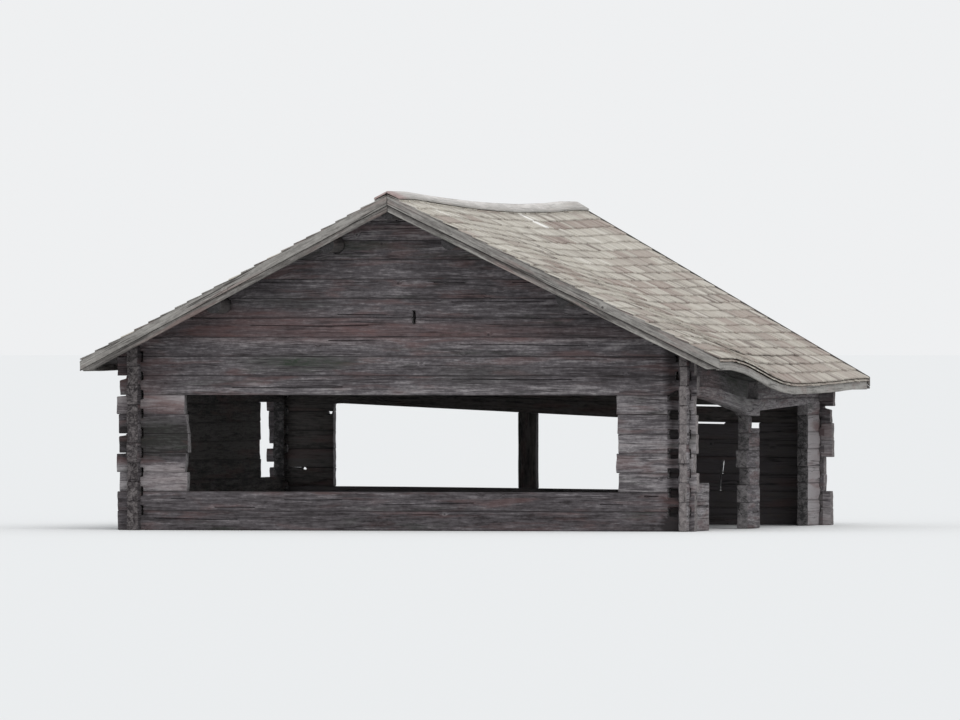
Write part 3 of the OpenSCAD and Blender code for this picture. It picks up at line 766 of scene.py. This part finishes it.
def mark_grain(obj, direction, up, tones, rng, width=STRETCH):
    """Store each stick's own coordinates, paleness and nearness to its long edges.

    The width is that of the stretches over which the stick's middle line is found.
    """
    co = points_of(obj)
    along, height, depth = co @ direction, co @ up, co @ np.cross(up, direction)
    grain, core = np.zeros_like(co), np.zeros_like(co)
    tone, edge = np.zeros(len(co)), np.zeros(len(co))
    for n, own in enumerate(sticks(obj)):
        middle, half = spans(along[own], height[own], along[own], width)
        rise = height[own] - middle
        sway = depth[own] - spans(along[own], depth[own], along[own], width)[0]
        shift = [rng.uniform(0, 40), rng.uniform(0, 9), rng.uniform(0, 9)]
        grain[own] = np.stack([along[own] + shift[0], sway + shift[1], rise + shift[2]], 1)
        heart = [rng.uniform(-0.02, 0.02), rng.uniform(-0.03, 0.03)]
        core[own] = np.stack([0 * rise, sway + heart[0], rise + heart[1]], 1)
        usual = rng.uniform(0.22, 0.55)
        shade = tones[n] if n < len(tones) else usual
        low, high = shade if isinstance(shade, tuple) else (shade, shade)
        edge[own] = np.clip(abs(rise) / np.maximum(half, 0.001), 0, 1)
        tone[own] = np.interp(rise / np.maximum(half, 0.001), [-0.5, 0.5], [low, high])
    store(obj, grain=grain, core=core, tone=tone, edge=edge)


def wear_down(obj, depth, scale=(1.6, 9.0), ways=(1, 1, 1)):
    """Press the surface in unevenly along its grain, never out, and smooth its blunt edges.

    The scale is that of the hollows along and across the grain, and the ways are 1 for
    the axes along which the surface may move.
    """
    tree = bpy.data.node_groups.new("wear", "GeometryNodeTree")
    for way in ("INPUT", "OUTPUT"):
        tree.interface.new_socket(name="Geometry", in_out=way, socket_type="NodeSocketGeometry")
    graph = Graph(tree)
    shape = graph.node("NodeGroupInput")
    grain = graph.node(
        "GeometryNodeInputNamedAttribute", {"Name": "grain"}, data_type="FLOAT_VECTOR")
    along, across = scale
    waves = graph.noise(grain, (along, across, across), 2.0, 0.5)
    facets = graph.noise(grain, (along * 5, across * 2, across * 2), 2.0, 0.5)
    press = (waves * 0.65 + facets * 0.35).step(0.3, 0.72) * -depth
    normal = graph.vectors("MULTIPLY", graph.node("GeometryNodeInputNormal"), ways)
    offset = graph.node(
        "ShaderNodeVectorMath", {"Vector": normal, "Scale": press}, operation="SCALE")
    graph.end("NodeGroupOutput", 0, graph.node(
        "GeometryNodeSetPosition", {"Geometry": shape, "Offset": offset}))
    modifier = obj.modifiers.new("wear", "NODES")
    modifier.node_group = tree
    pick(obj)
    bpy.ops.object.modifier_apply(modifier=modifier.name)
    bpy.ops.object.shade_smooth_by_angle(angle=SHARP)


def round_edges(obj, width, segments=2):
    """Bevel every sharp edge."""
    edit(obj, "EDGE")
    bpy.ops.mesh.select_all(action="DESELECT")
    bpy.ops.mesh.edges_select_sharp(sharpness=ROUNDED)
    bpy.ops.mesh.bevel(offset=width, segments=segments, affect="EDGES", clamp_overlap=False)
    leave_edit()


def finish_piece(obj, node, *names):
    """Give a piece its finishes and its body, and hide the CAD node that it stands for.

    It is kept in the CAD model's box, which the bevel of a sharp corner may leave.
    """
    set_points(obj, np.clip(points_of(obj), CAD_LOW, CAD_HIGH))
    for name in names:
        obj.data.materials.append(finish(name))
    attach(obj, "root")
    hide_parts(node)


def finish_of(node):
    """Name of the finish that a node's slot takes."""
    return next(name for name in FINISHES if name.startswith(SLOTS[node]))


def wear_places(obj, node):
    """Move the corners of a node's logs as the table of worn places says."""
    co = points_of(obj)
    for names, box, axis, shift in WORN_PLACES:
        if node.startswith(names):
            inside = [(co[:, a] > low) & (co[:, a] < high) for a, (low, high) in box.items()]
            co[np.all(inside, 0), axis] += shift
    set_points(obj, co)


def mark_tints(obj, node, axis):
    """Store the green and red patches of the wall that a node belongs to."""
    co = points_of(obj)
    tint = np.zeros(len(co))
    for wall, middle, half, depth in TINTS:
        if node.startswith(wall):
            away = np.hypot((co[:, axis] - middle[0]) / half[0], (co[:, Z] - middle[1]) / half[1])
            tint += depth * np.interp(away, [0.5, 1.3], [1, 0])
    store(obj, tint=tint)


def wear_back_corner(obj, logs):
    """Shorten the log ends at the left back corner, and wear away their undersides."""
    co = points_of(obj)
    past = co[:, X] < -WALL_X + 0.001
    for own in sticks(obj):
        foot = co[own, Z].min()
        if abs(foot - SOUND_END) > COURSE / 4:
            co[own & past & (co[:, Z] < foot + 0.002), Z] += logs.worn_under
    co[co[:, X] < -WALL_X - logs.worn_back, X] += logs.worn_back
    set_points(obj, co)


def hew_arch(obj, logs):
    """Hew the underside of the lowest log away over the front bay, most at its front end."""
    co = points_of(obj)
    front, back = FRONT_BAY
    low = sticks(obj)[0] & (co[:, Y] < back)
    over = low & (co[:, Y] > front)
    top = co[low, Z].max()
    share = np.interp(co[over, Y], [front, back], [logs.arch, 0.2 * logs.arch]) / COURSE
    co[over, Z] = top - (top - co[over, Z]) * (1 - share)
    set_points(obj, co)


def dress_logs(node, axis, outward, logs, rng):
    """Replace one node's logs by weathered ones with rounded arrises and drying checks."""
    obj = cad_copy(node, "_weathered")
    upright = node == "rear_middle_post"
    direction = np.eye(3)[Z if upright else axis]
    up = np.eye(3)[X if upright else Z]
    wear_places(obj, node)
    if node in ("rear_left_pier", "rear_lintel_logs"):
        wear_back_corner(obj, logs)
    round_edges(obj, logs.arris)
    slice_across(obj, int(direction.argmax()), logs.slice)
    if node == "right_lintel_logs":
        hew_arch(obj, logs)
    cut_rows(obj, up, logs.rows)
    sway_rows(obj, direction, up, logs.sway, rng)
    for side, share in ((outward, OUTER_CHECKS), (-outward, INNER_CHECKS)):
        open_checks(obj, direction, up, side, logs, share, rng)
    mark_grain(obj, direction, up, LOG_TONES.get(node, []), rng)
    mark_ends(obj, node)
    mark_tints(obj, node, axis)
    wear_down(obj, logs.wear, ways=(1, 1, 0))
    finish_piece(obj, node, finish_of(node),
                 "log_ends_hacked", "logs_inside", "log_ends_sheltered")
    for face in obj.data.polygons:
        past_corner = abs(face.center.x) > WALL_X or abs(face.center.y) > WALL_Y
        if abs(face.normal.dot(Vector(direction))) > 0.8:
            face.material_index = 1 if past_corner else 3
        elif face.normal.dot(outward) < -0.5 and not past_corner:
            face.material_index = 2


def mark_ends(obj, node):
    """Store the paleness of the log ends, and paint shade and light round the front right corner.
    """
    co = points_of(obj)
    store(obj, end=np.full(len(co), END_TONES.get(node, USUAL_END)))
    if node.startswith("front"):
        tone = read(obj.data.attributes["tone"].data, "value")
        # Painted shade: the bare necks in the hollow of the front right corner are darkened
        hollow = (co[:, X] > HOLLOW[0]) & (co[:, X] < HOLLOW[1])
        # Painted light: the front logs past that corner are paler below the opening's top, which
        # leaves those under the eave darker as painted shade
        past = (co[:, X] > WALL_X) & (co[:, Z] < OPENING_TOP)
        store(obj, tone=tone - 0.5 * hollow + 0.2 * past)


class RoofMap:
    """Places on a layer of one slope of the roof, read from the CAD surfaces."""

    def __init__(self, layer, side):
        self.side = side
        mesh = frame["nodes"][f"{layer}_{SIDE_NAMES[side]}"].data
        mesh.calc_loop_triangles()
        self.surface = BVHTree.FromPolygons(
            [v.co for v in mesh.vertices], [t.vertices for t in mesh.loop_triangles])
        co = points_of(frame["nodes"]["shingles_" + SIDE_NAMES[side]])
        out = side * co[:, X]
        self.y_low, self.y_high = co[:, Y].min(), co[:, Y].max()
        self.eave = side * out.max()
        self.ridge_y = np.unique(co[:, Y].round(4))
        self.ridge_x = [side * out[abs(co[:, Y] - y) < 0.001].min() for y in self.ridge_y]

    def under(self, x, y):
        """Height of the layer's underside at a place in the plan."""
        y = min(max(y, self.y_low + INSIDE), self.y_high - INSIDE)
        return self.surface.ray_cast(Vector((x, y, -1)), Vector((0, 0, 1)))[0].z

    def place(self, y, share, lift, eave=None):
        """Point at a share of the way from the ridge to the eave, lifted off the layer."""
        eave = self.eave if eave is None else eave
        ridge = float(np.interp(y, self.ridge_y, self.ridge_x))
        x = ridge + (eave - ridge) * share
        held = sorted((x, ridge + self.side * INSIDE, eave - self.side * INSIDE))[1]
        z = self.under(held, y)
        fall = self.under(held - self.side * PROBE, y) - z if share > 0.5 else USUAL_FALL
        return Vector((x, y, z - fall * (x - held) * self.side / PROBE + lift))


def unit_box(axis, shares):
    """A unit box from the origin, cut across at shares of its length along one axis."""
    bpy.ops.object.select_all(action="DESELECT")
    bpy.ops.mesh.primitive_cube_add(size=1, location=(0.5, 0.5, 0.5))
    box = bpy.context.object
    bpy.ops.object.transform_apply(location=True)
    edit(box)
    for share in shares:
        cut_across(axis, share)
    leave_edit()
    return box


def taken_apart(box):
    """Corners and faces of a box, which is then deleted."""
    mesh = box.data
    parts = [tuple(v.co) for v in mesh.vertices], [tuple(p.vertices) for p in mesh.polygons]
    bpy.data.objects.remove(box)
    bpy.data.meshes.remove(mesh)
    return parts


def shingle_blank(rng):
    """One split shingle in a unit box: across, up from its lower edge, and thickness."""
    box = unit_box(X, [share + rng.uniform(-0.1, 0.1) for share in (0.35, 0.7)])
    ragged = {round(v.co.x, 3): rng.uniform(0.0, 0.035) for v in box.data.vertices}
    for vertex in box.data.vertices:
        if vertex.co.y < 0.01:
            vertex.co.y += ragged[round(vertex.co.x, 3)]
    return taken_apart(box)


def scatter(name, blanks, places):
    """Join copies of the blanks, each mapped to its place by a function of its box.

    Each place gives the blank, that function, the size in metres, the paleness,
    the brownness and a shift of the grain.
    """
    verts, faces, grain, tone, brown, edge = [], [], [], [], [], []
    for blank, put, size, shade, browned, shift in places:
        co, polygons = blanks[blank]
        start = len(verts)
        verts.extend(put(*p) for p in co)
        faces.extend([[start + i for i in f] for f in polygons])
        grain.extend((p[1] * size[1] + shift, p[0] * size[0] + shift, p[2] * 0.01) for p in co)
        tone.extend([shade] * len(co))
        brown.extend([browned] * len(co))
        edge.extend(p[1] for p in co)
    mesh = bpy.data.meshes.new(name)
    mesh.from_pydata(verts, [], faces)
    obj = bpy.data.objects.new(name, mesh)
    bpy.context.collection.objects.link(obj)
    store(obj, grain=grain, tone=tone, brown=brown, edge=edge)
    return obj


def shingle_row(low_y, high_y, roof, rng):
    """Front and back side of each shingle in one course."""
    y = low_y - rng.uniform(0, roof.shingle_w)
    while y < high_y:
        width = roof.shingle_w * rng.uniform(0.65, 1.35)
        y0, y1 = max(y, low_y), min(y + width, high_y)
        y += width + rng.uniform(0.0005, 0.003)
        if y1 - y0 > 0.02:
            yield y0, y1


def brown_runs(share, y, state, rng):
    """Brownness of the next shingle: brown ones follow each other, low and far back most."""
    if state["left"] > 0:
        state["left"] -= 1
    elif rng.random() < 0.02 + 0.1 * share + 0.02 * (y > 0):
        state["left"] = rng.randint(2, 6)
        state["depth"] = rng.uniform(0.5, 1.0)
    else:
        return rng.uniform(0.0, 0.2) + 0.2 * share * (y > 0)
    return state["depth"] * rng.uniform(0.75, 1.0)


def dress_shingles(side, roof):
    """Single shingles in courses over one slope, with a doubled course at the eave."""
    rng = random.Random(roof.seed + side)
    slope = RoofMap("shingles", side)
    blanks = [shingle_blank(rng) for _ in range(6)]
    run = (slope.place(0, 0, 0) - slope.place(0, 1, 0)).length
    courses = round(run / roof.exposure)
    covered = roof.shingle_l / run
    places = []
    for course in range(1, courses + 2):
        starter = course == courses + 1
        state = {"left": 0}
        for y0, y1 in shingle_row(CAD_LOW.y + 0.004, CAD_HIGH.y - 0.004, roof, rng):
            ragged = 0.0 if course >= courses else rng.uniform(-0.12, 0.06)
            butt = min((course + ragged) / courses, 1.0)
            top = max(butt - covered, 0.0)
            lift = roof.layer - 0.002 - roof.starter * starter - rng.uniform(0.0, 0.004)
            drop = roof.lean * roof.shingle_l * (butt - top) / covered
            corner = [slope.place(y, butt, lift) for y in (y0, y1)]
            back = [slope.place(y, top, lift - drop) for y in (y0, y1)]
            tilt = rng.uniform(-0.003, 0.0)

            def put(u, t, h, corner=corner, back=back, tilt=tilt):
                point = corner[0].lerp(corner[1], u).lerp(back[0].lerp(back[1], u), t)
                thick = roof.shingle_t * (1 - 0.65 * t)
                return point + Vector((0, 0, (h - 1) * thick + tilt * u * (1 - t)))

            shade = min(max(rng.gauss(0.53 - 0.12 * butt, 0.16), 0.0), 1.0)
            brown = brown_runs(butt, y0, state, rng)
            if any(side == RIGHT and course == row and low < y0 < high
                   for row, low, high in DARK_STRETCHES):
                shade, brown = shade - 0.12, 0.9
            if y0 < BLEACHED[Y] < y1 and abs(corner[0].x - BLEACHED[X]) < roof.exposure * 0.6:
                shade, brown = 1.6, 0.0
            places.append((rng.randrange(6), put, (y1 - y0, roof.shingle_l), shade, brown,
                           rng.uniform(0, 30)))
    node = "shingles_" + SIDE_NAMES[side]
    obj = scatter(node + "_split", blanks, places)
    finish_piece(obj, node, "shingles_split", "trim_boards_sawn")
    for face in obj.data.polygons:
        if abs(face.normal.y) > 0.9 and face.center.y < CAD_LOW.y + 0.01:
            face.material_index = 1


def dress_roof_boards(side, roof):
    """Rough boards from the ridge to the eave, side by side under the shingles."""
    rng = random.Random(roof.seed * 3 + side)
    slope = RoofMap("roof_boards", side)
    node = "roof_boards_" + SIDE_NAMES[side]
    eave = max(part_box(node), key=lambda corner: corner.x * side).x
    places = []
    y = slope.y_low
    while y < slope.y_high - 0.03:
        width = roof.board_w * rng.uniform(0.75, 1.25)
        y0, y1 = y, min(y + width, slope.y_high)
        y = y1 + roof.board_gap * rng.uniform(0.4, 1.6)
        reach = 1 - rng.uniform(0.0, 0.006)

        def put(u, t, h, y0=y0, y1=y1, reach=reach):
            return slope.place(y0 + (y1 - y0) * u, (1 - t) * reach, h * BOARD_THICK, eave)

        places.append(
            (0, put, (y1 - y0, BOARD_LONG), rng.uniform(0.2, 0.6), 0.0, rng.uniform(0, 30)))
    blank = taken_apart(unit_box(Y, [i / 10 for i in range(1, 10)]))
    finish_piece(scatter(node + "_rough", [blank], places), node, "roof_timber_rough")


def lower_top(obj, direction, up, depth):
    """Take some height off the upper edge of a board."""
    co = points_of(obj)
    rise = co @ up
    middle = spans(co @ direction, rise, co @ direction, WHOLE)[0]
    co[rise > middle, Z] -= depth
    set_points(obj, co)


def lap_board(obj, up, width, lap):
    """Part a board along its length, and set its lower half back behind the upper one."""
    co = points_of(obj)
    cut = Vector(up) * ((co @ up).max() - width)
    lower = obj.copy()
    lower.data = obj.data.copy()
    bpy.context.collection.objects.link(lower)
    for half, upper_goes in ((obj, False), (lower, True)):
        edit(half)
        bpy.ops.mesh.bisect(plane_co=cut, plane_no=up, use_fill=True,
                            clear_inner=not upper_goes, clear_outer=upper_goes)
        leave_edit()
    out = 1 if co[:, Y].mean() > 0 else -1
    front = (co[:, Y] * out).max()
    for vertex in lower.data.vertices:
        if vertex.co.y * out > front - 0.001:
            vertex.co.y -= out * lap
    pick(obj, lower)
    bpy.ops.object.join()


def dress_board(obj, node, direction, up, tones, rng, width=STRETCH):
    """Weather the copy of a long board of the roof, which may be in two halves."""
    round_edges(obj, TRIM_ARRIS, 1)
    slice_across(obj, int(abs(direction).argmax()), TRIM_SLICE)
    mark_grain(obj, direction, up, tones, rng, width)
    wear_down(obj, TRIM_WEAR, (1.2, 14.0))
    finish_piece(obj, node, finish_of(node))


class BOATHOUSE_OT_walls(bpy.types.Operator):
    """Weathered logs of the four walls, the gables and the piers between the openings"""
    bl_idname = "boathouse.walls"
    bl_label = "Log Walls"

    def execute(self, context):
        logs = context.scene.boathouse_logs
        for wall, (axis, outward) in WALLS.items():
            rng = random.Random(f"{logs.seed} {wall}")
            for node, slot in SLOTS.items():
                if node.startswith(wall) and slot.endswith("logs"):
                    dress_logs(node, axis, outward, logs, rng)
        return {"FINISHED"}


class BOATHOUSE_OT_purlins(bpy.types.Operator):
    """Round purlins under the roof"""
    bl_idname = "boathouse.purlins"
    bl_label = "Purlins"

    def execute(self, context):
        rng = random.Random(context.scene.boathouse_roof.seed * 5)
        for node in (name for name in SLOTS if "purlin" in name):
            obj = cad_copy(node, "_round")
            slice_across(obj, Y, PURLIN_SLICE)
            mark_grain(obj, np.eye(3)[Y], np.eye(3)[Z], [], rng)
            count = len(obj.data.vertices)
            store(obj, edge=np.zeros(count), end=np.full(count, PURLIN_END_SHADE))
            wear_down(obj, PURLIN_WEAR)
            finish_piece(obj, node, "roof_timber_rough", "purlin_ends_hacked")
            for face in obj.data.polygons:
                face.material_index = int(abs(face.normal.y) > 0.8)
        return {"FINISHED"}


class BOATHOUSE_OT_roof_boards(bpy.types.Operator):
    """Rough boards under the shingles"""
    bl_idname = "boathouse.roof_boards"
    bl_label = "Roof Boards"

    def execute(self, context):
        for side in (LEFT, RIGHT):
            dress_roof_boards(side, context.scene.boathouse_roof)
        return {"FINISHED"}


class BOATHOUSE_OT_shingles(bpy.types.Operator):
    """Split shingles on both slopes"""
    bl_idname = "boathouse.shingles"
    bl_label = "Shingles"

    def execute(self, context):
        for side in (LEFT, RIGHT):
            dress_shingles(side, context.scene.boathouse_roof)
        return {"FINISHED"}


class BOATHOUSE_OT_trim_boards(bpy.types.Operator):
    """Ridge boards, barge boards and eave boards"""
    bl_idname = "boathouse.trim_boards"
    bl_label = "Ridge, Barge and Eave Boards"

    def execute(self, context):
        roof = context.scene.boathouse_roof
        rng = random.Random(roof.seed * 7)
        across, along, up = (np.eye(3)[axis] for axis in (X, Y, Z))
        for side in (LEFT, RIGHT):
            name = SIDE_NAMES[side]
            for node, rise, tone in (
                    ("ridge_board_" + name, side * across, (0.5, -0.2)),
                    ("eave_board_" + name, up, 0.8)):
                obj = cad_copy(node, "_weathered")
                dress_board(obj, node, along, rise, [tone], rng)
            for end in ("front", "rear"):
                node = f"{end}_barge_{name}"
                obj = cad_copy(node, "_lapped")
                slant = self.slant_of(obj)
                rise = np.cross(slant, along)
                if end == "front":
                    lower_top(obj, slant, rise, roof.verge)
                lap_board(obj, rise, roof.cover_w, roof.lap)
                dress_board(obj, node, slant, rise, BARGE_TONES[f"{end}_{name}"], rng, WHOLE)
        return {"FINISHED"}

    def slant_of(self, obj):
        """Direction along a barge board, read from its longest edge."""
        first, second = edges_of(obj)
        co = points_of(obj)
        run = co[second] - co[first]
        longest = run[np.linalg.norm(run, axis=1).argmax()]
        longest[Y] = 0
        return longest * np.sign(longest[X]) / np.linalg.norm(longest)


class BOATHOUSE_OT_stage(bpy.types.Operator):
    """Floor, soft light and the camera"""
    bl_idname = "boathouse.stage"
    bl_label = "Stage"

    def execute(self, context):
        stage = context.scene.boathouse_stage
        scene = context.scene
        scene.view_settings.view_transform = "Standard"
        bpy.ops.object.select_all(action="DESELECT")
        bpy.ops.mesh.primitive_circle_add(
            vertices=96, radius=600.0, fill_type="NGON", location=(0, 0, -0.002))
        floor = context.object
        floor.name = "floor"
        material = bpy.data.materials.new("floor")
        graph = emptied(material)
        grey = (*scene.boathouse_colours.floor, 1.0)
        graph.end("ShaderNodeOutputMaterial", "Surface", graph.node(
            "ShaderNodeBsdfPrincipled",
            {"Base Color": grey, "Roughness": 1.0, "Specular IOR Level": 0.0}))
        floor.data.materials.append(material)

        scene.world = bpy.data.worlds.new("sky")
        graph = emptied(scene.world)
        rays = graph.node(
            "ShaderNodeLightPath",
            output=("Is Camera Ray", "Is Glossy Ray", "Is Transmission Ray"))
        seen = (rays[0] + rays[1] + rays[2]).clamped()
        even, backdrop = [
            graph.node("ShaderNodeBackground", {"Color": (*tint, 1.0), "Strength": strength})
            for tint, strength in (((0.93, 0.96, 1.0), stage.sky), ((0.86, 0.87, 0.88), 1.0))]
        graph.end("ShaderNodeOutputWorld", "Surface", graph.node(
            "ShaderNodeMixShader", [seen, even, backdrop]))

        bpy.ops.object.light_add(type="SUN", location=(6, -8, 12))
        lamp = context.object
        lamp.name = "soft_lamp"
        lamp.data.energy = stage.sun
        lamp.data.angle = math.radians(45)
        lamp.rotation_euler = (math.radians(44), 0, math.radians(28))

        middle = (CAD_LOW + CAD_HIGH) / 2
        away = Vector((
            math.sin(stage.azimuth) * math.cos(stage.elevation),
            -math.cos(stage.azimuth) * math.cos(stage.elevation),
            math.sin(stage.elevation)))
        camera = bpy.data.objects.new("camera", bpy.data.cameras.new("camera"))
        context.collection.objects.link(camera)
        camera.location = middle + away * stage.distance
        camera.rotation_euler = (-away).to_track_quat("-Z", "Y").to_euler()
        camera.data.lens = stage.lens
        camera.data.clip_end = 2000.0
        scene.camera = camera
        return {"FINISHED"}


class BOATHOUSE_PT_panel(bpy.types.Panel):
    """Buttons and sizes of the boathouse"""
    bl_label = "Log Boathouse"
    bl_idname = "BOATHOUSE_PT_panel"
    bl_space_type = "VIEW_3D"
    bl_region_type = "UI"
    bl_category = "Boathouse"

    def draw(self, context):
        for operator in OPERATORS:
            self.layout.operator(operator.bl_idname)
        for group in GROUPS:
            box = self.layout.box()
            owner = getattr(context.scene, group)
            for name in owner.__annotations__:
                box.prop(owner, name)


GROUPS = {
    "boathouse_logs": BoathouseLogs,
    "boathouse_roof": BoathouseRoof,
    "boathouse_colours": BoathouseColours,
    "boathouse_stage": BoathouseStage,
}
OPERATORS = [
    BOATHOUSE_OT_walls,
    BOATHOUSE_OT_purlins,
    BOATHOUSE_OT_roof_boards,
    BOATHOUSE_OT_shingles,
    BOATHOUSE_OT_trim_boards,
    BOATHOUSE_OT_stage,
]


def register():
    for name, group in GROUPS.items():
        bpy.utils.register_class(group)
        setattr(bpy.types.Scene, name, PointerProperty(type=group))
    for cls in OPERATORS + [BOATHOUSE_PT_panel]:
        bpy.utils.register_class(cls)


def unregister():
    for cls in [BOATHOUSE_PT_panel] + OPERATORS[::-1]:
        bpy.utils.unregister_class(cls)
    for name, group in GROUPS.items():
        delattr(bpy.types.Scene, name)
        bpy.utils.unregister_class(group)


def main():
    """Build every piece."""
    register()
    for operator in OPERATORS:
        group, name = operator.bl_idname.split(".")
        getattr(getattr(bpy.ops, group), name)()


if __name__ == "__main__":
    main()
